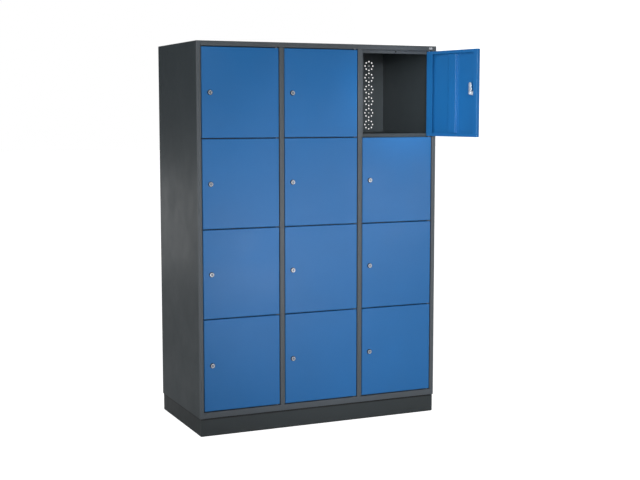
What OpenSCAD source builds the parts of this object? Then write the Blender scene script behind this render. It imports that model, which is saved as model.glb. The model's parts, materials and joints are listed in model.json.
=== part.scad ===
// Locker cabinet with key locks: three columns of four compartments on a plinth.
// Origin: centre of the footprint on the floor. +X is the right-hand side seen from the
// front, +Y the back, +Z up. The front plane of the cabinet is y = -body_d / 2.

/* [Cabinet] */
// Overall width of the cabinet
body_w = 1220; // [1080:10:1300]
// Overall depth of the cabinet
body_d = 580; // [450:10:650]
// Overall height, plinth included
body_h = 1800; // [1600:10:2000]
// Thickness of the sheet steel
sheet_t = 1.2; // [1:0.1:1.5]
// Columns of compartments
columns = 3; // [2:1:3]
// Rows of compartments
rows = 4; // [2:1:4]

/* [Plinth] */
// Height of the plinth
plinth_h = 85; // [60:5:120]
// Distance that the plinth stands back from the cabinet
plinth_inset = 4; // [2:1:20]
// Width of the plinth's folded edges
plinth_flange = 30; // [24:1:40]

/* [Front frame] */
// Width of the two outer posts
stile_w = 20; // [18:1:30]
// Width of the posts between two columns
mullion_w = 22; // [22:1:40]
// Height of the top rail
top_rail_h = 21; // [18:1:40]
// Height of the bottom rail
bottom_rail_h = 28; // [24:1:40]
// Width of the strip that the lock cam catches behind
strike_w = 15; // [13:1:16]
// Width of the strip behind the hinge edge of a door
hinge_strip_w = 6; // [3:0.5:6]
// Height of the stop strip above the top doors
head_strip = 16; // [12:1:24]
// Height of the stop strip above a row's lower edge
sill_strip = 16; // [10:1:20]
// Radius of the bend along the outer posts' front corners
bend_r = 2; // [1.6:0.1:3]

/* [Doors] */
// Thickness of a door over its folded edges
door_t = 18; // [17:1:20]
// Clearance between a door and the posts at its sides
side_gap = 3.5; // [3.5:0.5:5]
// Clearance between two doors, one above the other
row_gap = 5; // [5:0.5:8]
// Clearance between the end doors and the rails
end_gap = 4; // [3:0.5:6]
// Extra height of the doors in the bottom row
bottom_extra = 18; // [0:1:30]
// Distance of the door faces behind the front plane
door_recess = 2.5; // [1:0.5:3]
// Opening angle of the top right-hand door as it stands
door_open = 99; // [0:1:100]
// Width of the folded lip along the hinge edge
hinge_lip = 45; // [30:1:60]
// Width of the folded lip along the lock edge
lock_lip = 25; // [16:1:25]
// Width of the folded lips along the top and bottom edges
end_lip = 14; // [10:1:20]
// Width of the stiffening channel down the middle of a door
channel_w = 52; // [40:1:70]

/* [Locks] */
// Distance of the lock from the free edge of the door
lock_inset = 39; // [39:1:42]
// Length of the cam from the lock's axis to its tip
cam_l = 50; // [48:1:52]
// Diameter of the lock's front collar
collar_d = 24; // [22:1:28]
// Distance that the lock stands out of the door
lock_out = 7; // [4:1:9]
// Diameter of the key plug
plug_d = 12.9; // [12:0.1:12.9]

/* [Back wall] */
// Distance of the back wall in front of the rear edge
back_inset = 20; // [10:1:40]
// Vent rosettes in each compartment
rosettes = 6; // [1:1:6]
// Height between two rosettes
rosette_pitch = 61; // [50:1:62]
// Diameter of the ring of holes in a rosette
rosette_pcd = 45; // [36:1:46]
// Diameter of the holes in the ring
vent_d = 7.6; // [5:0.1:10]
// Distance of the rosettes from the compartment's right-hand wall
rosette_x = 83; // [40:1:120]

/* [Hidden] */
$fn = 48;
// Front and rear planes
front_y = -body_d / 2;
rear_y = body_d / 2;

// Column grid
opening_w = (body_w - 2 * stile_w - (columns - 1) * mullion_w) / columns;
column_pitch = opening_w + mullion_w;
door_w = opening_w - 2 * side_gap;

// Row grid
zone_z0 = plinth_h + bottom_rail_h;
zone_z1 = body_h - sheet_t - top_rail_h;
zone_h = zone_z1 - zone_z0;
door_h = (zone_h - 2 * end_gap - (rows - 1) * row_gap - bottom_extra) / rows;
row_pitch = door_h + row_gap;
lintel = 15;

// Folds of the body: the posts wrap round the front corners, the walls fold in at the rear
wrap = 10;
rear_fold = 20;

// Stop plane behind the doors: a post's strip first, then the rails' and shelves' strips
strip_t = 1.5;
strip_y = door_recess + door_t + 3;
lip_y = strip_y + strip_t;

// Door pivot: half the door's thickness in from its hinge edge and from its face
pivot = door_t / 2;
pin_r = 3;
pin_fit = 0.05;
press_fit = 0.02;
pin_grip = 8;
bracket_t = 2;
bracket_r = 7;

// Buffers on the stop strips
buffer_hole_r = 3;
buffer_r = 4;
buffer_t = 4;
buffer_stem = 3;
buffer_fit = 0.1;

// Door: rounded edge of its face, depth and height of the stiffening channel and its feet
door_edge_r = 2;
channel_depth = 11;
channel_end = end_lip + 4;
channel_foot = 12;
lock_hole_fit = 0.15;

// Lock
barrel_r = 9;
bore_r = 6.5;
collar_rim = 2.5;
face_d = 20;
nut_af = 22;
nut_t = 5;
cam_w = 16;
cam_t = 2.5;
cam_y = pivot + 6;
barrel_end = cam_y - 0.4;
cam_tab = 6;
cam_tab_out = 5;
cam_tab_z = 14;
cam_nut_r = 6.5;
cam_nut_t = 4;
key_slot = [2.4, 9, 12];
plug_recess = 0.6;

// Vent and fixing holes
centre_vent_d = 5;
fixing_d = 9;
fixing_x = (columns - 1) * column_pitch / 2;
fixing_z = [plinth_h + 120, body_h - 70];

// Plinth brace and screws
brace_w = 60;
screw_fit = 0.3;
screw_r = 4;
screw_head_r = 6.5;
screw_head_t = 5;
screw_l = 14;

function num(prefix, i) = str(prefix, i);
function cell(prefix, c, r) = str(prefix, "_c", c, "_r", r);
function opening_x(c) = -body_w / 2 + stile_w + (c - 1) * column_pitch;
function mullion_x(i) = opening_x(i) + opening_w + mullion_w / 2;
function wall_left(c) = c == 1 ? -body_w / 2 + sheet_t : mullion_x(c - 1) + sheet_t / 2;
function wall_right(c) = c == columns ? body_w / 2 - sheet_t : mullion_x(c) - sheet_t / 2;
function door_height(r) = r == rows ? door_h + bottom_extra : door_h;
function door_z(r) = zone_z0 + end_gap + (rows - r) * row_pitch + (r == rows ? 0 : bottom_extra);
function split_z(r) = door_z(r) - row_gap / 2;
function pivot_x(c) = opening_x(c) + side_gap + door_w - pivot;
function rest_angle(c, r) = c == columns && r == 1 ? door_open : 0;

FRAME_NODES = [
    "left_side_panel", "right_side_panel", "back_panel", "roof_panel", "base_panel",
    "plinth_front", "plinth_back", "plinth_ends", "plinth_brace", "plinth_screws",
    "left_stile", "right_stile", "top_rail", "bottom_rail",
    "hinge_brackets", "hinge_pins", "door_buffers"
];

body_colour = [0.24, 0.26, 0.27];
frame_colour = [0.30, 0.32, 0.33];
door_colour = [0.13, 0.36, 0.62];
steel_colour = [0.75, 0.76, 0.78];
rubber_colour = [0.08, 0.08, 0.09];

// A box from one corner to the opposite one
module span(a, b) {
    translate(a)
    cube(b - a);
}

// Side wall of the cabinet with its rear and lower edges folded inwards; side = -1 or 1
module side_panel(side) {
    color(body_colour)
    difference() {
        mirror([side < 0 ? 0 : 1, 0, 0])
        translate([-body_w / 2, 0, 0]) {
            span([0, front_y + wrap, plinth_h], [sheet_t, rear_y, body_h - sheet_t]);
            span([0, rear_y - sheet_t, plinth_h], [rear_fold, rear_y, body_h - sheet_t]);
            span([0, front_y + wrap + lip_y, plinth_h], [plinth_flange, rear_y, plinth_h + sheet_t]);
        }
        screw_places(side)
        translate([0, 0, -2 * sheet_t])
        cylinder(r = screw_r + screw_fit, h = 3 * sheet_t);
    }
}

// Flat sheet behind the compartments, with the vent rosettes and the wall fixing holes
module back_panel() {
    z0 = plinth_h + sheet_t;
    z1 = body_h - sheet_t;
    color(body_colour)
    translate([0, rear_y - back_inset, 0])
    rotate([90, 0, 0])
    linear_extrude(sheet_t)
    difference() {
        translate([-body_w / 2 + sheet_t, z0])
        square([body_w - 2 * sheet_t, z1 - z0]);
        for (c = [1 : columns], r = [1 : rows])
            translate([wall_right(c) - rosette_x, door_z(r) + door_height(r) / 2])
            rosette_column();
        for (x = [-fixing_x, fixing_x], z = fixing_z)
            translate([x, z])
            circle(d = fixing_d);
    }
}

// Vent holes of one compartment
module rosette_column() {
    for (i = [0 : rosettes - 1])
        translate([0, (i - (rosettes - 1) / 2) * rosette_pitch]) {
            circle(d = centre_vent_d, $fn = 24);
            for (a = [0 : 45 : 315])
                rotate(a)
                translate([rosette_pcd / 2, 0])
                circle(d = vent_d, $fn = 24);
        }
}

// Top sheet with rounded front corners and its rear edge folded down
module roof_panel() {
    color(body_colour) {
        translate([-body_w / 2, front_y, body_h - sheet_t])
        linear_extrude(sheet_t)
        front_rounded(body_w, body_d, bend_r);
        span([-body_w / 2 + rear_fold, rear_y - sheet_t, body_h - rear_fold],
             [body_w / 2 - rear_fold, rear_y, body_h]);
    }
}

// Floor of the lowest compartments, on two folded edges that stand on the plinth
module base_panel() {
    top = zone_z0 + sill_strip;
    x = body_w / 2 - sheet_t;
    y0 = front_y + lip_y + strip_t;
    y1 = rear_y - back_inset - sheet_t;
    color(body_colour) {
        span([-x, y0, top - sheet_t], [x, y1, top]);
        span([-x, y0, plinth_h + sheet_t], [x, y0 + sheet_t, top]);
        span([-x, y1 - sheet_t, plinth_h + sheet_t], [x, y1, top]);
    }
}

// One side of the plinth: web at y = 0, its upper and lower edges folded back along +Y and
// cut short by trim at both ends
module channel(length, trim) {
    span([-length / 2, 0, 0], [length / 2, strip_t, plinth_h]);
    for (z = [0, plinth_h - strip_t])
        span([-length / 2 + trim, 0, z], [length / 2 - trim, plinth_flange, z + strip_t]);
}

module plinth_front() {
    color(body_colour)
    translate([0, front_y + plinth_inset, 0])
    channel(body_w - 2 * plinth_inset, strip_t);
}

module plinth_back() {
    color(body_colour)
    translate([0, rear_y - plinth_inset, 0])
    rotate(180)
    channel(body_w - 2 * plinth_inset, strip_t);
}

// The two short sides of the plinth, with clearance holes for its screws
module plinth_ends() {
    length = body_d - 2 * (plinth_inset + strip_t);
    color(body_colour)
    for (side = [-1, 1])
        difference() {
            translate([side * (body_w / 2 - plinth_inset), 0, 0])
            rotate(side * 90)
            channel(length, plinth_flange - strip_t);
            screw_places(side)
            translate([0, 0, -screw_l])
            cylinder(r = screw_r + screw_fit, h = 2 * screw_l);
        }
}

// Channel under the middle of the cabinet, standing on the floor between front and back
module plinth_brace() {
    y = body_d / 2 - plinth_inset - plinth_flange;
    color(body_colour) {
        span([-brace_w / 2, -y, 0], [brace_w / 2, y, strip_t]);
        for (x = [-brace_w / 2, brace_w / 2 - strip_t])
            span([x, -y, 0], [x + strip_t, y, plinth_h]);
    }
}

// Puts its child at each screw on one side of the plinth, on the side panel's folded edge
module screw_places(side) {
    inset = plinth_inset + plinth_flange / 2;
    for (y = [-body_d / 3, 0, body_d / 3])
        translate([side * (body_w / 2 - inset), y, plinth_h + sheet_t])
        children();
}

// Six hexagon screws that hold the cabinet down on the plinth
module plinth_screws() {
    color(steel_colour)
    for (side = [-1, 1])
        screw_places(side) {
            cylinder(r = screw_head_r, h = screw_head_t, $fn = 6);
            translate([0, 0, -screw_l])
            cylinder(r = screw_r, h = screw_l);
        }
}

// Outline of an outer post: rounded front corner, face and inner web
module stile_outline() {
    difference() {
        square([stile_w, wrap]);
        translate([sheet_t, sheet_t])
        square([stile_w - 2 * sheet_t, wrap]);
        difference() {
            square(2 * bend_r, center = true);
            translate([bend_r, bend_r])
            circle(bend_r);
        }
    }
    translate([stile_w - sheet_t, sheet_t])
    square([sheet_t, lip_y - sheet_t]);
}

// Outer post with the strip behind the doors' edges, which ends at the rails
module stile(strip) {
    translate([-body_w / 2, front_y, 0]) {
        translate([0, 0, plinth_h])
        linear_extrude(body_h - sheet_t - plinth_h)
        stile_outline();
        span([stile_w - sheet_t, strip_y, zone_z0], [stile_w + strip, lip_y, zone_z1]);
    }
}

module left_stile() {
    color(frame_colour)
    stile(strike_w);
}

module right_stile() {
    color(frame_colour)
    mirror([1, 0, 0])
    stile(hinge_strip_w);
}

// Post between two columns: a hat section with unequal edges
module mullion(i) {
    half = mullion_w / 2;
    color(frame_colour)
    translate([mullion_x(i), front_y, zone_z0])
    linear_extrude(zone_h) {
        translate([-half, 0])
        square([mullion_w, sheet_t]);
        for (x = [-half, half - sheet_t])
            translate([x, 0])
            square([sheet_t, lip_y]);
        translate([-half - hinge_strip_w, strip_y])
        square([hinge_strip_w + sheet_t, strip_t]);
        translate([half - sheet_t, strip_y])
        square([strike_w + sheet_t, strip_t]);
    }
}

// Upright sheet between two columns, from the post's face to the back wall
module partition(i) {
    x0 = mullion_x(i) - sheet_t / 2;
    x1 = mullion_x(i) + sheet_t / 2;
    y0 = front_y + lip_y;
    y1 = rear_y - back_inset - sheet_t;
    color(body_colour) {
        span([x0, front_y + sheet_t, zone_z0], [x1, y0, zone_z1]);
        span([x0, y0, zone_z0 + sill_strip], [x1, y0 + strip_t, zone_z1 - head_strip]);
        span([x0, y0 + strip_t, zone_z0 + sill_strip], [x1, y1, body_h - sheet_t]);
    }
}

// Front rail in a frame of its own: the doors' side of the rail at z = 0, the rail below
// it, and the stop strip behind the doors above it
module rail(height, strip) {
    x = body_w / 2 - stile_w;
    span([-x, 0, -height], [x, sheet_t, 0]);
    span([-x, 0, -height], [x, lip_y, sheet_t - height]);
    span([-x, 0, -sheet_t], [x, lip_y + strip_t, 0]);
    span([-x, lip_y, -sheet_t], [x, lip_y + strip_t, strip]);
}

// Holes for the hinge pins in a rail whose doors' side is at height z
module pin_holes(z) {
    for (c = [1 : columns])
        translate([pivot_x(c), front_y + door_recess + pivot, z - 2 * sheet_t])
        cylinder(r = pin_r + press_fit, h = 4 * sheet_t);
}

module top_rail() {
    color(frame_colour)
    difference() {
        translate([0, front_y, zone_z1])
        mirror([0, 0, 1])
        rail(top_rail_h, head_strip);
        pin_holes(zone_z1);
        for (c = [1 : columns])
            buffer_place(c, 1)
            cylinder(r = buffer_hole_r, h = 4 * strip_t, center = true);
    }
}

module bottom_rail() {
    color(frame_colour)
    difference() {
        translate([0, front_y, zone_z0])
        rail(bottom_rail_h, sill_strip);
        pin_holes(zone_z0);
    }
}

// Puts its child on the stop strip above a door, in the middle, pointing forwards
module buffer_place(c, r) {
    z = r == 1 ? zone_z1 - head_strip / 2 : split_z(r - 1) - lintel / 2;
    translate([opening_x(c) + opening_w / 2, front_y + lip_y, z])
    rotate([90, 0, 0])
    children();
}

// One shelf: top sheet with a front edge that stops the doors above and below it
module shelf(c, r) {
    x0 = wall_left(c);
    x1 = wall_right(c);
    y0 = front_y + lip_y;
    y1 = rear_y - back_inset - sheet_t;
    top = split_z(r) + sill_strip;
    low = split_z(r) - lintel;
    difference() {
        union() {
            span([x0, y0, top - sheet_t], [x1, y1, top]);
            span([x0, y0, low], [x1, y0 + strip_t, top]);
            span([x0, y1 - sheet_t, low], [x1, y1, top]);
        }
        buffer_place(c, r + 1)
        cylinder(r = buffer_hole_r, h = 4 * strip_t, center = true);
    }
}

module shelves_column(c) {
    color(body_colour)
    for (r = [1 : rows - 1])
        shelf(c, r);
}

// Lugs on the posts, one between every two doors, that carry the hinge pins
module hinge_brackets() {
    color(frame_colour)
    for (c = [1 : columns], r = [1 : rows - 1])
        translate([pivot_x(c), front_y + door_recess + pivot, split_z(r) - bracket_t / 2])
        difference() {
            union() {
                cylinder(r = bracket_r, h = bracket_t);
                span([0, -bracket_r, 0], [pivot + side_gap, bracket_r, bracket_t]);
            }
            translate([0, 0, -1])
            cylinder(r = pin_r + press_fit, h = bracket_t + 2);
        }
}

// Hinge pins: long ones through the lugs, short ones in the rails
module hinge_pins() {
    reach = row_gap / 2 + pin_grip;
    color(steel_colour)
    for (c = [1 : columns])
        translate([pivot_x(c), front_y + door_recess + pivot, 0]) {
            for (r = [1 : rows - 1])
                translate([0, 0, split_z(r) - reach])
                cylinder(r = pin_r, h = 2 * reach);
            translate([0, 0, zone_z0 - pin_grip])
            cylinder(r = pin_r, h = end_gap + 2 * pin_grip);
            translate([0, 0, zone_z1 - end_gap - pin_grip])
            cylinder(r = pin_r, h = end_gap + 2 * pin_grip);
        }
}

// Rubber buffers on the stop strips above each door
module door_buffers() {
    color(rubber_colour)
    for (c = [1 : columns], r = [1 : rows])
        buffer_place(c, r) {
            translate([0, 0, -strip_t - buffer_stem])
            cylinder(r = buffer_hole_r - buffer_fit, h = strip_t + buffer_stem);
            cylinder(r = buffer_r, h = buffer_t);
        }
}

// Puts its children on a door: pivot at the origin, door face towards -Y, foot at z = 0
module on_door(c, r) {
    translate([pivot_x(c), front_y + door_recess + pivot, door_z(r)])
    rotate(rest_angle(c, r))
    children();
}

// A block with the four edges of its front face rounded
module soft_front_block(size, radius) {
    intersection() {
        linear_extrude(size.z)
        front_rounded(size.x, size.y, radius);
        translate([0, 0, size.z])
        rotate([0, 90, 0])
        linear_extrude(size.x)
        front_rounded(size.z, size.y, radius);
    }
}

// A rectangle with its two corners at y = 0 rounded
module front_rounded(w, d, radius) {
    translate([0, radius])
    square([w, d - radius]);
    translate([radius, 0])
    square([w - 2 * radius, 2 * radius]);
    for (x = [radius, w - radius])
        translate([x, radius])
        circle(radius);
}

// Folded door of height h: face, four edges with lips, and a stiffening channel down the middle
module door_panel(h) {
    x0 = pivot - door_w;
    y_in = -pivot + sheet_t;
    hat_x = x0 + door_w / 2;
    hat_y = y_in + channel_depth;
    foot_x = channel_w / 2 - sheet_t;
    difference() {
        translate([x0, -pivot, 0])
        soft_front_block([door_w, door_t, h], door_edge_r);
        span([x0 + sheet_t, y_in, sheet_t], [pivot - sheet_t, pivot - sheet_t, h - sheet_t]);
        span([x0 + lock_lip, 0, end_lip], [pivot - hinge_lip, pivot + 1, h - end_lip]);
        translate([0, 0, -1])
        cylinder(r = pin_r + pin_fit, h = h + 2);
        translate([x0 + lock_inset, 0, h / 2])
        rotate([90, 0, 0])
        cylinder(r = barrel_r + lock_hole_fit, h = door_t, $fn = 64);
    }
    difference() {
        span([hat_x - channel_w / 2, y_in, channel_end],
             [hat_x + channel_w / 2, hat_y, h - channel_end]);
        span([hat_x - foot_x, y_in - 1, channel_end - 1],
             [hat_x + foot_x, hat_y - sheet_t, h - channel_end + 1]);
    }
    for (x = [hat_x - foot_x - channel_foot, hat_x + foot_x])
        span([x, y_in, channel_end], [x + channel_foot, y_in + sheet_t, h - channel_end]);
}

module door(c, r) {
    color(door_colour)
    on_door(c, r)
    door_panel(door_height(r));
}

// Puts its children at the lock, with the lock's axis along Z and its front towards +Z
module at_lock(c, r) {
    on_door(c, r)
    translate([pivot - door_w + lock_inset, 0, door_height(r) / 2])
    rotate([90, 0, 0])
    children();
}

// Fixed part of a lock: collar, threaded barrel and the nut behind the door's face
module lock_body(c, r) {
    color(steel_colour)
    at_lock(c, r)
    difference() {
        union() {
            rotate_extrude($fn = 64)
            polygon([[0, pivot], [collar_d / 2, pivot], [collar_d / 2, pivot + collar_rim],
                     [face_d / 2, pivot + lock_out], [0, pivot + lock_out]]);
            translate([0, 0, -barrel_end])
            cylinder(r = barrel_r, h = barrel_end + pivot + 1, $fn = 64);
            translate([0, 0, pivot - sheet_t - nut_t])
            cylinder(d = nut_af / cos(30), h = nut_t, $fn = 6);
        }
        translate([0, 0, -barrel_end - 1])
        cylinder(r = bore_r, h = barrel_end + pivot + lock_out + 2, $fn = 64);
    }
}

// Turning part of a lock: key plug, the cam on its rear end and the nut that holds it
module lock_cam(c, r) {
    front = pivot + lock_out - plug_recess;
    color(steel_colour)
    at_lock(c, r) {
        difference() {
            translate([0, 0, -cam_y])
            cylinder(d = plug_d, h = front + cam_y, $fn = 64);
            translate([-key_slot.x / 2, -key_slot.y / 2, front - key_slot.z])
            cube([key_slot.x, key_slot.y, key_slot.z + 1]);
        }
        translate([0, 0, -cam_y - cam_t])
        linear_extrude(cam_t)
        cam_outline();
        translate([0, 0, -cam_y - cam_t - cam_nut_t])
        cylinder(r = cam_nut_r, h = cam_nut_t, $fn = 6);
    }
}

// Cam: a bar with round ends and a small stop tab
module cam_outline() {
    circle(cam_w / 2);
    translate([-cam_w / 2, 0])
    square([cam_w, cam_l - cam_w / 2]);
    translate([0, cam_l - cam_w / 2])
    circle(cam_w / 2);
    translate([-cam_w / 2 - cam_tab_out, cam_tab_z])
    square(cam_tab);
}

side_panel(-1);  // left_side_panel
side_panel(1);  // right_side_panel
back_panel();
roof_panel();
base_panel();
plinth_front();
plinth_back();
plinth_ends();
plinth_brace();
plinth_screws();
left_stile();
right_stile();
top_rail();
bottom_rail();
hinge_brackets();
hinge_pins();
door_buffers();
for (i = [1 : columns - 1]) {
    mullion(i);
    partition(i);
}
for (c = [1 : columns]) {
    shelves_column(c);
    for (r = [1 : rows]) {
        door(c, r);
        lock_body(c, r);
        lock_cam(c, r);
    }
}
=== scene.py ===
"""Steel locker cabinet with twelve compartments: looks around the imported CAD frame.

Everything is in metres in the CAD frame: +X to the right, +Y to the back, +Z up.
"""

import json
import math

import bmesh
import bpy
from mathutils import Matrix, Vector
from mathutils.bvhtree import BVHTree
from mathutils.geometry import tessellate_polygon

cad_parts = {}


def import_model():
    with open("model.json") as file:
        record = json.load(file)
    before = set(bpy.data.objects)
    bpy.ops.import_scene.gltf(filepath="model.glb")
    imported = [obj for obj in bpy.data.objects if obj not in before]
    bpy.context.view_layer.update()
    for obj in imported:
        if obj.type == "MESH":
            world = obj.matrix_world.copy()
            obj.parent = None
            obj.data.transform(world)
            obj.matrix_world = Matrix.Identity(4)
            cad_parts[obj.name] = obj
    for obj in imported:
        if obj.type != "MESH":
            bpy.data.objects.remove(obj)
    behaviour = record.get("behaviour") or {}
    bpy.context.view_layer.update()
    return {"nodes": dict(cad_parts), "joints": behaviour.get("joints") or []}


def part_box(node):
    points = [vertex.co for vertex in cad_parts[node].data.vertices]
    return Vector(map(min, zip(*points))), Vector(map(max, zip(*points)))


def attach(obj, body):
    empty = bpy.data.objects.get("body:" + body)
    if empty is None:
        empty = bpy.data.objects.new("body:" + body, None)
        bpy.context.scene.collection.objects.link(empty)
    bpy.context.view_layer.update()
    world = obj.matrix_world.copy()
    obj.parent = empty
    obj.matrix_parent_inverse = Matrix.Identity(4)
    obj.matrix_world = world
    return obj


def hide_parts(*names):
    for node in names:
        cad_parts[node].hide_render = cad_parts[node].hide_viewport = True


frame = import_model()

MM = 0.001
SHEET = 1.2 * MM
WELD = 0.005 * MM
SHARP_FROM = math.radians(35)
NODES = frame["nodes"]
JOINTS = {j["name"]: j for j in frame["joints"]}
CELLS = sorted(name[len("door_"):-len("_hinge")] for name in JOINTS if name.endswith("_hinge"))


# ---------------------------------------------------------------- mesh helpers

class Mesh:
    """Faces of one piece, in the frame's coordinates. Lengths given to it are in metres."""

    def __init__(self):
        self.bm = bmesh.new()

    def quads(self, rings):
        """Joins each ring of points to the next with quads. Returns the rings as vertices."""
        loops = [[self.bm.verts.new(p) for p in ring] for ring in rings]
        for a, b in zip(loops, loops[1:]):
            for i in range(len(a)):
                j = (i + 1) % len(a)
                self.face(a[i], a[j], b[j], b[i])
        return loops

    def face(self, *verts):
        """One face. Corners that coincide count once, and fewer than three make no face."""
        distinct = list(dict.fromkeys(verts))
        if len(distinct) > 2:
            self.bm.faces.new(distinct)

    def fill(self, *loops):
        """Flat face bounded by the first loop of vertices, with the others as holes."""
        flat = [v for loop in loops for v in loop]
        for tri in tessellate_polygon([[v.co for v in loop] for loop in loops]):
            self.bm.faces.new([flat[i] for i in tri])

    def folded(self, path, place, low, high, radius=1.2 * MM, thickness=SHEET, steps=4):
        """Folded sheet: the centre line of its section, which place(u, v, w) puts into space
        with w running from low to high. Either end may be a function of (u, v), for mitres."""
        pairs = section(path, thickness, radius, steps)
        sides = [p[0] for p in pairs] + [p[1] for p in reversed(pairs)]
        ends = []
        for limit in (low, high):
            at = limit if callable(limit) else (lambda u, v, w=limit: w)
            ends.append([place(u, v, at(u, v)) for u, v in sides])
        loops = self.quads(ends)
        count = len(sides)
        for loop in loops:
            for i in range(len(pairs) - 1):
                self.face(loop[i], loop[i + 1], loop[count - 2 - i], loop[count - 1 - i])

    def plate(self, outline, place, low, high, edge=0.3 * MM):
        """Flat sheet with softened edges: an outline that place(u, v, w) puts into space."""
        inner = inset(outline, edge)
        levels = [(inner, low), (outline, low + edge), (outline, high - edge), (inner, high)]
        loops = self.quads([[place(u, v, w) for u, v in ring] for ring, w in levels])
        self.fill(loops[0])
        self.fill(loops[-1])

    @staticmethod
    def round_rings(profile, place, steps):
        """Rings of points round an axis, from (radius, height) pairs. place(u, v, w) has w
        along the axis."""
        angles = [2 * math.pi * i / steps for i in range(steps)]
        return [[place(r * math.cos(a), r * math.sin(a), w) for a in angles] for r, w in profile]

    def lathe(self, profile, place, steps=24):
        """Turned solid with flat ends."""
        loops = self.quads(self.round_rings(profile, place, steps))
        self.fill(loops[0])
        self.fill(loops[-1])

    def turned(self, profile, place, steps=64):
        """Turned ring, whose profile closes on itself."""
        rings = self.round_rings(profile, place, steps)
        self.quads(rings + rings[:1])

    def drill(self, place, start, end, radius, steps=32):
        """Round hole through two parallel faces, at w = start and w = end,
        about place(0, 0, w)."""
        self.bm.faces.ensure_lookup_table()
        tree = BVHTree.FromBMesh(self.bm)
        faces = [self.bm.faces[tree.find_nearest(place(0, 0, w))[2]] for w in (start, end)]
        loops = self.quads(self.round_rings([(radius, start), (radius, end)], place, steps))
        for face, loop in zip(faces, loops):
            corners = list(face.verts)
            self.bm.faces.remove(face)
            self.fill(corners, loop)

    def piece(self, name, material, body, slot, *replaced):
        """Ends the mesh: an object with tidy normals that rides on a body."""
        bmesh.ops.remove_doubles(self.bm, verts=self.bm.verts, dist=WELD)
        bmesh.ops.recalc_face_normals(self.bm, faces=self.bm.faces)
        mesh = bpy.data.meshes.new(name)
        self.bm.to_mesh(mesh)
        self.bm.free()
        mesh.polygons.foreach_set("use_smooth", [True] * len(mesh.polygons))
        mesh.set_sharp_from_angle(angle=SHARP_FROM)
        mesh.materials.append(material)
        obj = bpy.data.objects.new(name, mesh)
        bpy.context.scene.collection.objects.link(obj)
        normals = obj.modifiers.new("normals", "WEIGHTED_NORMAL")
        normals.keep_sharp = True
        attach(obj, body)
        if replaced:
            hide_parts(*replaced)
        return obj


def section(path, thickness, radius, steps):
    """Points on both faces of a folded sheet, from the centre line of its section."""
    pts = [Vector(p) for p in path]
    half = thickness / 2
    pairs = []

    def add(point, across):
        pairs.append((tuple(point + across * half), tuple(point - across * half)))

    for i, point in enumerate(pts):
        before = (point - pts[i - 1]).normalized() if i else None
        after = (pts[i + 1] - point).normalized() if i + 1 < len(pts) else None
        if before is None or after is None:
            along = after or before
            add(point, Vector((-along.y, along.x)))
            continue
        turn = before.angle_signed(after) * -1
        bend = radius + half
        reach = bend * math.tan(abs(turn) / 2)
        side = math.copysign(1, turn)
        start = Vector((-before.y, before.x))
        centre = point - before * reach + start * side * bend
        for k in range(steps + 1):
            across = start.copy()
            across.rotate(Matrix.Rotation(turn * k / steps, 2))
            add(centre - across * side * bend, across)
    return pairs


def inset(outline, distance):
    """The outline moved inwards by a distance."""
    pts = [Vector(p) for p in outline]
    area = sum(a.x * b.y - b.x * a.y for a, b in zip(pts, pts[1:] + pts[:1]))
    side = math.copysign(1, area)
    result = []
    for i, p in enumerate(pts):
        a = (p - pts[i - 1]).normalized()
        b = (pts[(i + 1) % len(pts)] - p).normalized()
        na, nb = Vector((-a.y, a.x)) * side, Vector((-b.y, b.x)) * side
        middle = (na + nb).normalized()
        result.append(tuple(p + middle * distance / max(0.3, middle.dot(na))))
    return result


def box_outline(u0, v0, u1, v1):
    """Rectangle from two opposite corners."""
    return [(u0, v0), (u1, v0), (u1, v1), (u0, v1)]


def upright(u, v, w):
    """Section in the ground plan, length along Z."""
    return (u, v, w)


def crosswise(u, v, w):
    """Section in the (Y, Z) plane, length along X."""
    return (w, u, v)


def lengthwise(u, v, w):
    """Section in the (X, Z) plane, length along Y."""
    return (u, w, v)


# ---------------------------------------------------------------- shader helpers

class Shader:
    """A material under construction. add() makes a node and sets or links its inputs."""

    def __init__(self, name):
        self.material = bpy.data.materials.new(name)
        self.material.use_nodes = True
        self.tree = self.material.node_tree
        self.surface = self.tree.nodes["Principled BSDF"]
        self.place = self.add("ShaderNodeTexCoord").outputs["Object"]

    def add(self, kind, inputs=None, **settings):
        node = self.tree.nodes.new(kind)
        for key, value in settings.items():
            setattr(node, key, value)
        self.feed(node, inputs or {})
        return node

    def feed(self, node, inputs):
        for key, value in inputs.items():
            if isinstance(value, bpy.types.NodeSocket):
                self.tree.links.new(value, node.inputs[key])
            else:
                node.inputs[key].default_value = value

    def noise(self, scale, detail=2.0, roughness=0.5, place=None):
        inputs = {"Vector": place or self.place, "Scale": scale, "Detail": detail,
                  "Roughness": roughness}
        return self.add("ShaderNodeTexNoise", inputs).outputs["Fac"]

    def remap(self, value, low, high, to_low=0.0, to_high=1.0):
        inputs = {"Value": value, "From Min": low, "From Max": high,
                  "To Min": to_low, "To Max": to_high}
        return self.add("ShaderNodeMapRange", inputs).outputs["Result"]

    def maths(self, operation, a, b=0.0):
        return self.add("ShaderNodeMath", {0: a, 1: b}, operation=operation).outputs[0]

    def mix(self, factor, a, b):
        node = self.add("ShaderNodeMix", data_type="RGBA")
        self.feed(node, {0: factor, 6: a, 7: b})
        return node.outputs[2]

    def bump(self, height, strength, distance, normal=None):
        inputs = {"Height": height, "Strength": strength, "Distance": distance}
        if normal is not None:
            inputs["Normal"] = normal
        return self.add("ShaderNodeBump", inputs).outputs["Normal"]

    def edges(self, radius):
        """1 along edges within radius, 0 on flat surfaces."""
        soft = self.add("ShaderNodeBevel", {"Radius": radius}, samples=6).outputs["Normal"]
        true = self.add("ShaderNodeNewGeometry").outputs["Normal"]
        dot = self.add("ShaderNodeVectorMath", {0: soft, 1: true}, operation="DOT_PRODUCT")
        return self.remap(dot.outputs["Value"], 0.995, 0.85)


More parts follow.
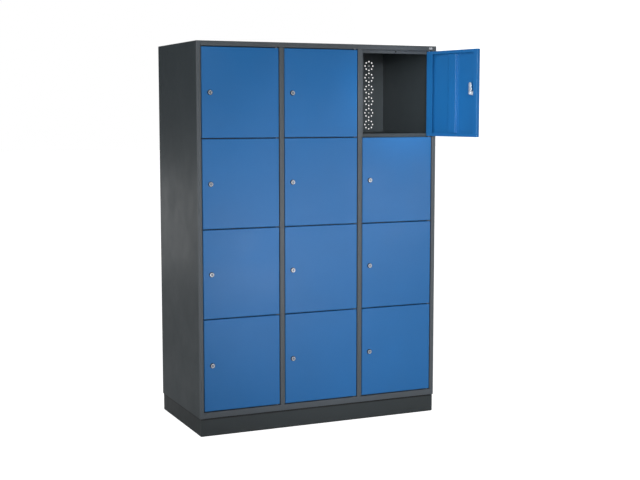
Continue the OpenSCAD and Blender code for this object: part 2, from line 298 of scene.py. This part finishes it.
def rgb(r, g, b):
    """Colour from 0-255 display values, as linear RGBA."""
    def linear(v):
        v /= 255
        return v / 12.92 if v <= 0.04045 else ((v + 0.055) / 1.055) ** 2.4
    return (linear(r), linear(g), linear(b), 1.0)


def scaled(colour, factor):
    """A colour made lighter or darker."""
    return tuple(min(1.0, v * factor) for v in colour[:3]) + (1.0,)


def powder_coat(name, colour, roughness, wear=0.35, shadow_painted_above=None):
    """Baked powder coat: fine orange peel, faint clouding, dust and slight rub along the edges.
    Above a given height it is nearly black: a painted shadow for the dark line under the
    cabinet's edge, where the plinth's small step casts too faint a shadow."""
    s = Shader(name)
    cloud = s.noise(2.3, 3)
    grain = s.noise(1400, 2)
    tint = s.mix(s.remap(cloud, 0.3, 0.7), scaled(colour, 0.94), scaled(colour, 1.06))
    tint = s.mix(s.remap(grain, 0.35, 0.65, 0.0, 0.10), tint, scaled(colour, 1.5))
    rub = s.maths("MULTIPLY", s.edges(0.0014), s.remap(s.noise(75, 3), 0.42, 0.62, 0.15, wear))
    tint = s.mix(rub, tint, scaled(colour, 2.6))
    if shadow_painted_above is not None:
        # painted shadow: nearly black above the given height, as under the cabinet's edge
        height = s.add("ShaderNodeSeparateXYZ", {0: s.place}).outputs["Z"]
        tint = s.mix(s.remap(height, shadow_painted_above, shadow_painted_above + MM), tint, scaled(colour, 0.12))
    smear = s.noise(6.5, 4, 0.6)
    rough = s.remap(smear, 0.3, 0.7, roughness - 0.04, roughness + 0.05)
    rough = s.maths("ADD", rough, s.maths("MULTIPLY", rub, 0.15))
    peel = s.bump(s.noise(420, 1.5), 0.10, 0.0004)
    normal = s.bump(grain, 0.12, 0.00012, peel)
    s.feed(s.surface, {"Base Color": tint, "Roughness": rough, "Normal": normal, "IOR": 1.5})
    return s.material


def plated_metal(name, colour, roughness, metallic, stretch=(1, 1, 1)):
    """Plated or brushed metal with fine directional marks and a little tarnish."""
    s = Shader(name)
    mapped = s.add("ShaderNodeMapping", {"Vector": s.place, "Scale": stretch}).outputs["Vector"]
    lines = s.noise(900, 3, 0.6, mapped)
    stain = s.noise(140, 3)
    tint = s.mix(s.remap(stain, 0.35, 0.7), colour, scaled(colour, 0.78))
    tint = s.mix(s.remap(lines, 0.4, 0.7, 0.0, 0.25), tint, scaled(colour, 0.55))
    rough = s.remap(lines, 0.3, 0.7, roughness - 0.05, roughness + 0.1)
    normal = s.bump(lines, 0.15, 0.00008)
    s.feed(s.surface, {"Base Color": tint, "Roughness": rough, "Normal": normal,
                       "Metallic": metallic})
    return s.material


def rubber(name, colour):
    """Dusty black rubber."""
    s = Shader(name)
    dust = s.noise(320, 4, 0.7)
    tint = s.mix(s.remap(dust, 0.45, 0.75), colour, scaled(colour, 2.2))
    normal = s.bump(dust, 0.3, 0.0002)
    rough = s.remap(dust, 0.3, 0.7, 0.7, 0.9)
    s.feed(s.surface, {"Base Color": tint, "Normal": normal, "Roughness": rough})
    return s.material


BODY_PAINT = powder_coat("body_powder_coat", rgb(61, 69, 73), 0.45)
FRAME_PAINT = powder_coat("frame_powder_coat", rgb(80, 86, 91), 0.45)
# the plinth's paint is nearly black from 77 mm up: a painted shadow under the cabinet's edge
PLINTH_PAINT = powder_coat("plinth_powder_coat", rgb(49, 55, 57), 0.5, shadow_painted_above=77 * MM)
DOOR_PAINT = powder_coat("door_powder_coat", rgb(30, 107, 172), 0.38, 0.15)
LOCK_NICKEL = plated_metal("lock_nickel", rgb(238, 243, 250), 0.25, 0.5)
PLUG_NICKEL = plated_metal("plug_nickel", rgb(140, 148, 162), 0.35, 0.5)
# darker copy of the lock nickel: painted shade and reflection on the collars' sloping sides
LOCK_PAINTED_SHADE = plated_metal("lock_nickel_painted_shade", rgb(36, 40, 48), 0.4, 0.6)
PIN_ZINC = plated_metal("pin_zinc", rgb(175, 177, 181), 0.35, 0.8, (1, 1, 12))
BUFFER_RUBBER = rubber("buffer_rubber", rgb(22, 22, 23))


# ---------------------------------------------------------------- places taken from the CAD

left_post, roof_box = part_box("left_stile"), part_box("roof_panel")
top_rail, bottom_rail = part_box("top_rail"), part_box("bottom_rail")
FRONT = left_post[0].y
WALL = -left_post[0].x
REAR = roof_box[1].y
TOP = roof_box[1].z
PLINTH = left_post[0].z
RAIL_END = top_rail[1].x
STRIP = FRONT + 23.5 * MM     # face of the stop strips of the posts
LIP = STRIP + 1.5 * MM        # face of the stop strips of the rails and shelves
WRAP = 10 * MM                # how far the outer posts reach round the front corners
STRIKE_STRIP = 15 * MM        # width of the strips that the lock cams catch behind
HINGE_STRIP = 6 * MM          # width of the strips behind the hinge edges of the doors
REAR_FOLD = 20 * MM           # width of the folds along the rear edges
ZONE_LOW, ZONE_HIGH = (corner.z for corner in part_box("mullion_1"))
SILL = bottom_rail[1].z - ZONE_LOW
HEAD = ZONE_HIGH - top_rail[0].z
PLINTH_INSET = 4 * MM
PLINTH_SHEET = 1.5 * MM
PLINTH_FLANGE = 30 * MM
PLINTH_BEND = 3 * MM
closed_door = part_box("door_c1_r1")
DOOR = closed_door[1] - closed_door[0]
PIVOT = DOOR.y / 2
BEND = 1.0 * MM
SIDE_GAP, ROW_GAP = 3.5 * MM, 5 * MM
LOCK_LIP, HINGE_LIP, END_LIP = 25 * MM, 45 * MM, 14 * MM
LOCK_IN = 39 * MM             # from a door's free edge to its lock's axis
PAINTED_SHADE_FROM = 9 * MM             # radius at which the painted shade on a collar's side begins
LOCK_HOLE_R, PIN_HOLE_R = 9.15 * MM, 3.05 * MM
CHANNEL_HALF = 26 * MM        # half the width of a door's stiffening channel
CHANNEL_DEEP = 11 * MM        # depth of the channel
CHANNEL_FOOT = 12 * MM        # width of the channel's feet on the skin
CHANNEL_END = 18 * MM         # distance of the channel's ends from the door's ends
BARREL_BORE = 6.5 * MM
BARREL_END = -14.6 * MM       # rear end of a lock's barrel, from the middle of the door
COLLAR_OUT = 7 * MM           # how far a lock stands out of its door
LOCK_NUT_R, LOCK_NUT = 11 * MM, 5 * MM
PLUG_OUT, PLUG_R = 6.4 * MM, 6.45 * MM
KEY_DEPTH = 12 * MM
CAM_FRONT, CAM_SHEET = -15 * MM, 2.5 * MM
CAM_NUT_R, CAM_NUT, CAM_BOLT_R = 5.63 * MM, 4 * MM, 3.0 * MM
CAM_HALF, CAM_LENGTH = 8 * MM, 50 * MM


def tall(cell):
    """Height of a door."""
    low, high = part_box(f"door_{cell}")
    return high.z - low.z


# ---------------------------------------------------------------- cabinet

def side_panel(name, side):
    """Side wall with its rear edge folded in, and the folded edge that stands on the plinth."""
    wall = Mesh()
    half = SHEET / 2
    seam = 0.25 * MM
    x = side * (WALL - half)
    path = [(x, FRONT + WRAP + seam), (x, REAR - half), (side * (WALL - REAR_FOLD), REAR - half)]
    wall.folded(path, upright, PLINTH, TOP - SHEET)
    behind_lip, foot_width = 10 * MM, 30 * MM
    foot = box_outline(side * (WALL - SHEET), LIP + behind_lip, side * (WALL - foot_width),
                       REAR - SHEET)
    wall.plate(foot, upright, PLINTH, PLINTH + SHEET)
    wall.piece(name + "_sheet", BODY_PAINT, "cabinet", "body_paint", name)


def post(name, side, strip):
    """Outer post: wraps round the front corner, its web ends in the stop strip."""
    m = Mesh()
    half = SHEET / 2
    outer, inner = side * (WALL - half), side * (RAIL_END + half)
    end = side * (RAIL_END - strip)

    def low(u, v):
        return ZONE_LOW if abs(u) < abs(inner) - half else PLINTH

    def high(u, v):
        return ZONE_HIGH if abs(u) < abs(inner) - half else TOP - SHEET

    path = [(outer, FRONT + WRAP), (outer, FRONT + half), (inner, FRONT + half),
            (inner, STRIP + half), (end, STRIP + half)]
    m.folded(path, upright, low, high, radius=BEND)
    m.piece(name + "_fold", FRAME_PAINT, "cabinet", "frame_paint", name)


def middle_post(name):
    """Post between two columns: a hat section whose edges are the stop strips."""
    low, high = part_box(name)
    m = Mesh()
    half = SHEET / 2
    middle = (low.x + high.x - STRIKE_STRIP + HINGE_STRIP) / 2
    web = middle - low.x - HINGE_STRIP - half
    path = [(low.x, STRIP + half), (middle - web, STRIP + half), (middle - web, FRONT + half),
            (middle + web, FRONT + half), (middle + web, STRIP + half), (high.x, STRIP + half)]
    m.folded(path, upright, low.z, high.z, radius=BEND)
    m.piece(name + "_fold", FRAME_PAINT, "cabinet", "frame_paint", name)


def rail(name, door_side, up, height, strip):
    """Top or bottom rail: face, return, web beside the doors and stop strip behind them."""
    m = Mesh()
    half = SHEET / 2
    outer = door_side - up * (height - half)
    web = door_side - up * half
    path = [(LIP, outer), (FRONT + half, outer), (FRONT + half, web), (LIP + half, web),
            (LIP + half, door_side + up * strip)]
    m.folded(path, crosswise, -RAIL_END, RAIL_END, radius=BEND)
    m.piece(name + "_fold", FRAME_PAINT, "cabinet", "frame_paint", name)


def roof():
    """Roof with rounded front corners and its fold down the rear."""
    m = Mesh()
    radius = 2 * MM
    outline = [(WALL, REAR), (-WALL, REAR)]
    for side in (-1, 1):
        arc = [(side * (WALL - radius + radius * math.cos(a)),
                FRONT + radius - radius * math.sin(a))
               for a in (math.radians(15 * k) for k in range(7))]
        outline += arc if side < 0 else arc[::-1]
    m.plate(outline, upright, TOP - SHEET, TOP)
    fold = WALL - REAR_FOLD
    rear = box_outline(-fold, TOP - REAR_FOLD, fold, TOP - SHEET / 2)
    m.plate(rear, lengthwise, REAR - SHEET, REAR)
    m.piece("roof_panel_sheet", BODY_PAINT, "cabinet", "body_paint", "roof_panel")


def tray(m, low, high, left, right, front, back):
    """Shelf or floor: its front and back edges are folded down from high to low."""
    half = SHEET / 2
    path = [(front + half, low), (front + half, high - half),
            (back - half, high - half), (back - half, low)]
    m.folded(path, crosswise, left, right, radius=BEND)


def shelves(column):
    """The three shelves of a column."""
    node = f"shelves_column_{column}"
    low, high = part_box(node)
    m = Mesh()
    depth = 31 * MM
    pitch = (high.z - low.z - depth) / 2
    for i in range(3):
        foot = low.z + i * pitch
        tray(m, foot, foot + depth, low.x, high.x, low.y, high.y)
    m.piece(node + "_sheets", BODY_PAINT, "cabinet", "body_paint", node)


def partition(name):
    """Wall between two columns, notched round the stop strips of the rails."""
    low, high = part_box(name)
    m = Mesh()
    front = low.y
    back = LIP + 1.5 * MM
    outline = [(front, ZONE_LOW), (LIP, ZONE_LOW), (LIP, ZONE_LOW + SILL),
               (high.y, ZONE_LOW + SILL), (high.y, high.z), (back, high.z),
               (back, ZONE_HIGH - HEAD), (LIP, ZONE_HIGH - HEAD), (LIP, ZONE_HIGH),
               (front, ZONE_HIGH)]
    m.plate(outline, crosswise, low.x, high.x, edge=0.15 * MM)
    m.piece(name + "_sheet", BODY_PAINT, "cabinet", "body_paint", name)


def plinth_channel(m, place, half_length):
    """Channel with mitred ends. Its section is (depth behind its face, height)."""
    half = PLINTH_SHEET / 2
    path = [(PLINTH_FLANGE, half), (half, half), (half, PLINTH - half),
            (PLINTH_FLANGE, PLINTH - half)]
    m.folded(path, place, lambda u, v: -half_length + u, lambda u, v: half_length - u,
             PLINTH_BEND, PLINTH_SHEET, steps=6)


def plinth():
    """Four mitred channels: front, back and the two ends."""
    for name, side in (("plinth_front", 1), ("plinth_back", -1)):
        m = Mesh()
        face = (FRONT if side > 0 else REAR) + side * PLINTH_INSET
        plinth_channel(m, lambda u, v, w, f=face, s=side: (w, f + s * u, v),
                       WALL - PLINTH_INSET)
        m.piece(name + "_channel", PLINTH_PAINT, "cabinet", "body_paint", name)
    m = Mesh()
    for side in (-1, 1):
        face = side * (WALL - PLINTH_INSET)
        plinth_channel(m, lambda u, v, w, f=face, s=side: (f - s * u, w, v),
                       (REAR - FRONT) / 2 - PLINTH_INSET)
    m.piece("plinth_ends_channels", PLINTH_PAINT, "cabinet", "body_paint", "plinth_ends")


def hinge_lugs():
    """Round-nosed lugs between the doors, which carry the hinge pins."""
    m = Mesh()
    thickness = 2 * MM
    r = 7 * MM
    nose = [math.radians(15 * k) for k in range(13)]
    for cell in CELLS:
        if cell.endswith("r1"):
            continue
        at = Vector(JOINTS[f"door_{cell}_hinge"]["pos_m"])
        z = at.z + tall(cell) / 2 + ROW_GAP / 2
        post = at.x + PIVOT + SIDE_GAP
        outline = [(post, at.y - r), (post, at.y + r)]
        outline += [(at.x - r * math.sin(a), at.y + r * math.cos(a)) for a in nose]
        m.plate(outline, upright, z - thickness / 2, z + thickness / 2, edge=0.35 * MM)
    m.piece("hinge_lugs", FRAME_PAINT, "cabinet", "frame_paint", "hinge_brackets")


def buffers():
    """Rubber buffers with domed heads on the stop strips."""
    m = Mesh()
    dome = [(0.4, 4.0), (1.6, 3.85), (2.8, 3.3), (3.6, 2.4), (4.0, 1.2), (4.0, 0.3), (3.7, 0.0),
            (2.9, 0.0), (2.9, -4.5)]
    profile = [(r * MM, h * MM) for r, h in dome]
    for cell in CELLS:
        hinge = Vector(JOINTS[f"door_{cell}_hinge"]["pos_m"])
        x = hinge.x + PIVOT - DOOR.x / 2
        below_top = hinge.z + tall(cell) / 2 - 5 * MM
        z = ZONE_HIGH - HEAD / 2 if cell.endswith("r1") else below_top
        m.lathe(profile, lambda u, v, w, x=x, z=z: (x + u, LIP - w, z + v))
    m.piece("door_buffers_domed", BUFFER_RUBBER, "cabinet", "buffer_rubber", "door_buffers")


# ---------------------------------------------------------------- doors and locks

def ring(left, right, end, height, depth, radius, place, steps=3):
    """Rectangle with rounded corners on a door: distances from its edges, and depth behind
    its face."""
    u0, u1, v0, v1 = left, DOOR.x - right, end, height - end
    points = []
    for u, v, start in ((u1, v1, 0), (u0, v1, 90), (u0, v0, 180), (u1, v0, 270)):
        cu = u - radius if u == u1 else u + radius
        cv = v - radius if v == v1 else v + radius
        for k in range(steps + 1):
            a = math.radians(start + 90 * k / steps)
            points.append(place(cu + radius * math.cos(a), cv + radius * math.sin(a), depth))
    return points


def door_place(cell):
    """Function that puts (across from the lock edge, up from the foot, depth) of a door into
    space, with the door as it stands at rest."""
    hinge = JOINTS[f"door_{cell}_hinge"]
    at = Vector(hinge["pos_m"])
    opened = math.radians(-hinge["range_deg"][0])
    foot = Matrix.Translation((at.x, at.y, at.z - tall(cell) / 2))
    matrix = foot @ Matrix.Rotation(opened, 4, "Z")
    return lambda u, v, d: matrix @ Vector((PIVOT - DOOR.x + u, d - PIVOT, v))


def door(cell):
    """Door skin with its four folded walls and lips, and the stiffening channel behind it."""
    place = door_place(cell)
    height = tall(cell)
    m = Mesh()
    rings = []

    def even(edge, depth, radius):
        rings.append(ring(edge, edge, edge, height, depth, max(0.2 * MM, radius - edge), place))

    front_r, back_r, corner = 2 * MM, 1.6 * MM, 1.8 * MM
    inner_front_r, inner_back_r = 0.8 * MM, 0.6 * MM
    for k in range(5):
        a = math.radians(90 * k / 4)
        even(front_r * (1 - math.sin(a)), front_r * (1 - math.cos(a)), corner)
    for k in range(4):
        a = math.radians(90 * k / 3)
        even(back_r * (1 - math.cos(a)), DOOR.y - back_r * (1 - math.sin(a)), corner)
    for depth in (DOOR.y, DOOR.y - SHEET):
        rings.append(ring(LOCK_LIP, HINGE_LIP, END_LIP, height, depth, 0.4 * MM, place))
    even(SHEET + inner_back_r, DOOR.y - SHEET, 0)
    even(SHEET, DOOR.y - SHEET - inner_back_r, 0)
    even(SHEET, SHEET + inner_front_r, 0)
    even(SHEET + inner_front_r, SHEET, 0)
    loops = m.quads(rings)

    # lock hole through the skin, pin holes through the top and bottom walls
    around = [(LOCK_HOLE_R, 0), (LOCK_HOLE_R, SHEET)]
    hole = m.quads(m.round_rings(
        around, lambda u, v, d: place(LOCK_IN + u, height / 2 + v, d), 48))
    m.fill(loops[0], hole[0])
    m.fill(loops[-1], hole[1])
    for outer, inner in ((0, SHEET), (height, height - SHEET)):
        m.drill(lambda s, c, w: place(DOOR.x - PIVOT + s, w, PIVOT + c), outer, inner, PIN_HOLE_R)

    # stiffening channel
    middle, web, foot = DOOR.x / 2, CHANNEL_HALF - SHEET / 2, CHANNEL_FOOT
    low, high = SHEET * 1.5, SHEET / 2 + CHANNEL_DEEP
    path = [(middle - web - foot, low), (middle - web, low), (middle - web, high),
            (middle + web, high), (middle + web, low), (middle + web + foot, low)]
    m.folded(path, lambda u, v, w: place(u, w, v), CHANNEL_END, height - CHANNEL_END,
             radius=BEND)
    m.piece(f"door_{cell}_leaf", DOOR_PAINT, f"door_{cell}", "door_paint", f"door_{cell}")


def hexagon(m, place, radius, low, high, bore, steps=72):
    """Hexagon nut with chamfered corners: radius is half its width across flats."""
    def limit(a):
        return radius / math.cos(math.radians((math.degrees(a) + 30) % 60 - 30))

    flat, corner = radius * 0.96, radius * 1.155
    levels = [(bore, low), (flat, low), (radius, low + 0.1 * MM), (corner, low + 0.9 * MM),
              (corner, high - 0.9 * MM), (radius, high - 0.1 * MM), (flat, high), (bore, high)]
    angles = [2 * math.pi * i / steps for i in range(steps)]
    rings = []
    for r, w in levels:
        rings.append([place(min(r, limit(a)) * math.cos(a), min(r, limit(a)) * math.sin(a), w)
                      for a in angles])
    m.quads(rings + rings[:1])


def lock_place(cell):
    """Function that puts (right, up, towards the front) round a lock's axis into space, from
    the middle of the door's thickness."""
    place, middle = door_place(cell), tall(cell) / 2
    return lambda u, v, w: place(LOCK_IN + u, middle + v, PIVOT - w)


def repaint(obj, place, material, radius=0.0):
    """Another material for the faces of a lock that stand out of the door, beyond a radius."""
    obj.data.materials.append(material)
    start = place(0, 0, 0)
    axis = (place(0, 0, 1) - start).normalized()
    for poly in obj.data.polygons:
        across = poly.center - start
        height = across.dot(axis)
        if height > PIVOT and (across - axis * height).length >= radius:
            poly.material_index = 1


def lock_body(cell):
    """Collar with painted shade on its sloping side, threaded barrel and the nut behind the door's
    skin.
    """
    place = lock_place(cell)
    m = Mesh()
    face = PIVOT
    out = face + COLLAR_OUT
    crest, root = 9.0 * MM, 8.55 * MM
    profile = [(BARREL_BORE, BARREL_END), (8.3 * MM, BARREL_END)]
    w = BARREL_END + 0.5 * MM
    while w < face - 1.5 * MM:
        profile += [(crest, w), (crest, w + 0.25 * MM), (root, w + 0.5 * MM),
                    (root, w + 0.75 * MM)]
        w += 1.0 * MM
    profile += [(crest, face), (11.6 * MM, face), (12 * MM, face + 0.4 * MM),
                (12 * MM, face + 2.1 * MM), (11.7 * MM, face + 2.7 * MM),
                (10.4 * MM, out - 0.9 * MM), (9.9 * MM, out - 0.3 * MM), (9.3 * MM, out),
                (7.2 * MM, out), (6.75 * MM, out - 0.15 * MM), (BARREL_BORE, out - 0.5 * MM)]
    m.turned(profile, place)
    inside_thread = 8.7 * MM
    hexagon(m, place, LOCK_NUT_R, face - SHEET - LOCK_NUT, face - SHEET, inside_thread)
    collar = m.piece(f"lock_body_{cell}_collar", LOCK_NICKEL, f"door_{cell}", "lock_chrome",
                     f"lock_body_{cell}")
    # painted shade and reflection: the collar's side beyond a radius gets the dark copy of the
    # nickel
    repaint(collar, place, LOCK_PAINTED_SHADE, PAINTED_SHADE_FROM)


def lock_cam(cell):
    """Key plug with its slot, the cam on its rear end and the cam's nut."""
    place = lock_place(cell)
    m = Mesh()
    front = PIVOT + PLUG_OUT
    profile = [(PLUG_R - 0.5 * MM, front), (PLUG_R - 0.1 * MM, front - 0.3 * MM),
               (PLUG_R, front - 0.7 * MM), (PLUG_R, CAM_FRONT)]
    loops = m.quads(m.round_rings(profile, place, 64))
    slot = [(1.2, 4.5), (-1.2, 4.5), (-1.2, 1.2), (-0.75, 0.6), (-0.75, -0.6), (-1.2, -1.2),
            (-1.2, -4.5), (1.2, -4.5), (1.2, -1.2), (0.75, -0.6), (0.75, 0.6), (1.2, 1.2)]
    rim = [place(u * MM, v * MM, front) for u, v in slot]
    deep = [place(u * MM, v * MM, front - KEY_DEPTH) for u, v in slot]
    walls = m.quads([rim, deep])
    m.fill(loops[0], walls[0])
    m.fill(walls[1])
    m.fill(loops[-1])
    back = CAM_FRONT - CAM_SHEET
    m.plate(cam_outline(), place, back, CAM_FRONT, edge=0.35 * MM)
    end, chamfer = back - CAM_NUT, 0.4 * MM
    hexagon(m, place, CAM_NUT_R, end, back, CAM_BOLT_R, steps=48)
    m.lathe([(CAM_BOLT_R - chamfer, end), (CAM_BOLT_R, end + chamfer), (CAM_BOLT_R, back)], place)
    plug = m.piece(f"lock_cam_{cell}_bar", LOCK_NICKEL, f"cam_{cell}", "lock_chrome",
                   f"lock_cam_{cell}")
    repaint(plug, place, PLUG_NICKEL)


def cam_outline():
    """Bar with round ends and a small tab at its side."""
    half, tab, tab_low, tab_high = CAM_HALF, 5 * MM, 14 * MM, 20 * MM
    arc = [math.radians(15 * k) for k in range(13)]
    outline = [(half * math.cos(a), -half * math.sin(a)) for a in arc]
    outline += [(-half, tab_low), (-half - tab, tab_low), (-half - tab, tab_high),
                (-half, tab_high)]
    outline += [(-half * math.cos(a), CAM_LENGTH - half + half * math.sin(a)) for a in arc]
    return outline


def badge():
    """Small blank plate on the right-hand end of the top rail."""
    m = Mesh()
    x, z = RAIL_END - 12 * MM, (ZONE_HIGH + top_rail[1].z) / 2
    half_width, half_height, radius = 7 * MM, 3.5 * MM, 1.5 * MM
    outline = []
    for cu, cv, start in ((1, 1, 0), (-1, 1, 90), (-1, -1, 180), (1, -1, 270)):
        for k in range(5):
            a = math.radians(start + 22.5 * k)
            outline.append((x + cu * half_width + radius * math.cos(a),
                            z + cv * half_height + radius * math.sin(a)))
    m.plate(outline, lengthwise, FRONT - 0.9 * MM, FRONT + 0.1 * MM)
    m.piece("blank_badge", LOCK_NICKEL, "cabinet", "lock_chrome")


side_panel("left_side_panel", -1)
side_panel("right_side_panel", 1)
post("left_stile", -1, STRIKE_STRIP)
post("right_stile", 1, HINGE_STRIP)
for i in (1, 2):
    middle_post(f"mullion_{i}")
    partition(f"partition_{i}")
rail("top_rail", ZONE_HIGH, -1, top_rail[1].z - ZONE_HIGH, HEAD)
rail("bottom_rail", ZONE_LOW, 1, ZONE_LOW - bottom_rail[0].z, SILL)
roof()
base = Mesh()
low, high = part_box("base_panel")
tray(base, low.z, high.z, low.x, high.x, low.y, high.y)
base.piece("base_panel_sheet", BODY_PAINT, "cabinet", "body_paint", "base_panel")
for c in (1, 2, 3):
    shelves(c)
plinth()
hinge_lugs()
buffers()
for cell in CELLS:
    door(cell)
    lock_body(cell)
    lock_cam(cell)
badge()

for name, material in (("back_panel", BODY_PAINT), ("plinth_brace", BODY_PAINT),
                       ("hinge_pins", PIN_ZINC), ("plinth_screws", PIN_ZINC)):
    NODES[name].data.materials.clear()
    NODES[name].data.materials.append(material)


# ---------------------------------------------------------------- camera, floor and light

def look_at(obj, target):
    """Turns a camera or a light towards a point."""
    obj.rotation_mode = "QUATERNION"
    obj.rotation_quaternion = (Vector(target) - obj.location).to_track_quat("-Z", "Y")


def camera():
    """Camera at the photo's angle, with its lens found from the cabinet's corners."""
    data = bpy.data.cameras.new("camera")
    obj = bpy.data.objects.new("camera", data)
    bpy.context.scene.collection.objects.link(obj)
    data.sensor_width = 36
    data.lens = 67.72
    yaw, pitch = math.radians(24.34), math.radians(-6.07)
    obj.location = (-2.332, FRONT - 5.136, 1.484)
    flat = math.cos(pitch)
    ahead = Vector((math.sin(yaw) * flat, math.cos(yaw) * flat, math.sin(pitch)))
    look_at(obj, obj.location + ahead)
    bpy.context.scene.camera = obj


def floor():
    """Pale floor that looks white to the camera and lights the object only by what falls on it."""
    mesh = bpy.data.meshes.new("floor")
    size = 40
    corners = [(u, v, 0) for u, v in box_outline(-size, -size, size, size)]
    mesh.from_pydata(corners, [], [(0, 1, 2, 3)])
    obj = bpy.data.objects.new("floor", mesh)
    bpy.context.scene.collection.objects.link(obj)
    s = Shader("floor_paint")
    tone = s.mix(s.remap(s.noise(0.8, 3), 0.3, 0.7), (0.80, 0.80, 0.80, 1), (0.84, 0.84, 0.84, 1))
    seen = s.add("ShaderNodeLightPath").outputs["Is Camera Ray"]
    glow = s.maths("MULTIPLY", seen, 0.9)
    s.feed(s.surface, {"Base Color": tone, "Roughness": 0.9, "Emission Color": (1, 1, 1, 1),
                       "Emission Strength": glow})
    mesh.materials.append(s.material)


def world(*patches):
    """Studio walls: white to the camera, and soft patches of light on the object, each given
    by its direction, its narrowness and its strength."""
    w = bpy.data.worlds.new("studio")
    bpy.context.scene.world = w
    w.use_nodes = True
    tree = w.node_tree

    def maths(operation, a, b):
        node = tree.nodes.new("ShaderNodeMath")
        node.operation = operation
        for socket, value in zip(node.inputs, (a, b)):
            if isinstance(value, bpy.types.NodeSocket):
                tree.links.new(value, socket)
            else:
                socket.default_value = value
        return node.outputs[0]

    place = tree.nodes.new("ShaderNodeTexCoord").outputs["Generated"]
    total = 0.0
    for direction, narrow, strength in patches:
        dot = tree.nodes.new("ShaderNodeVectorMath")
        dot.operation = "DOT_PRODUCT"
        tree.links.new(place, dot.inputs[0])
        dot.inputs[1].default_value = Vector(direction).normalized()
        patch = maths("POWER", maths("MAXIMUM", dot.outputs["Value"], 0.0), narrow)
        total = maths("ADD", maths("MULTIPLY", patch, strength), total)
    seen = tree.nodes.new("ShaderNodeLightPath").outputs["Is Camera Ray"]
    strength = maths("MAXIMUM", total, seen)
    tree.links.new(strength, tree.nodes["Background"].inputs["Strength"])
    tree.nodes["Background"].inputs["Color"].default_value = (1, 1, 1, 1)


def panel(name, place, target, size, power):
    """Rectangular soft light."""
    data = bpy.data.lights.new(name, "AREA")
    data.shape = "RECTANGLE"
    data.size, data.size_y = size
    data.energy = power
    obj = bpy.data.objects.new(name, data)
    bpy.context.scene.collection.objects.link(obj)
    obj.location = place
    obj.visible_camera = False
    look_at(obj, target)


def spot(name, place, target, angle, power):
    """Soft-edged spot light."""
    data = bpy.data.lights.new(name, "SPOT")
    data.spot_size, data.spot_blend = angle, 1.0
    data.shadow_soft_size = 0.15
    data.energy = power
    obj = bpy.data.objects.new(name, data)
    bpy.context.scene.collection.objects.link(obj)
    obj.location = place
    look_at(obj, target)


camera()
floor()
world(((-0.8, -1, 0.1), 8, 1.45), ((-1, -0.2, 0.1), 8, 2.0), ((1, 1, 0.2), 12, 2.0),
      ((1, -0.1, 0.1), 8, 0.7), ((0.3, 0.5, 1), 10, 0.55))
panel("key", (-1.5, -5.0, 2.7), (0, -0.29, 1.0), (1.2, 1.0), 46)
panel("fill", (-1.0, -2.2, 1.6), (0.6, -0.4, 1.5), (0.5, 0.5), 3)
panel("glow_left", (0.54, -2.8, 0.42), (-0.4, -0.29, 0.75), (0.5, 0.4), 4.8)
panel("glow_middle", (1.15, -2.8, 0.65), (0, -0.29, 0.95), (0.9, 0.5), 2.4)
panel("glow_right", (1.76, -2.8, 0.91), (0.42, -0.29, 1.1), (0.6, 0.5), 5.6)
panel("side", (-1.45, 2.4, 0.75), (-0.61, 0, 0.95), (0.7, 0.6), 1.75)
spot("compartment", (-1.2, -4.2, 1.9), (0.5, -0.1, 1.55), math.radians(8), 345)
spot("open_door", (-1.0, -2.2, 1.6), (0.62, -0.45, 1.58), math.radians(23), 72)
spot("doors", (-0.6, -4.6, 1.6), (0.2, -0.29, 0.88), math.radians(28), 175)
bpy.context.scene.view_settings.view_transform = "Standard"
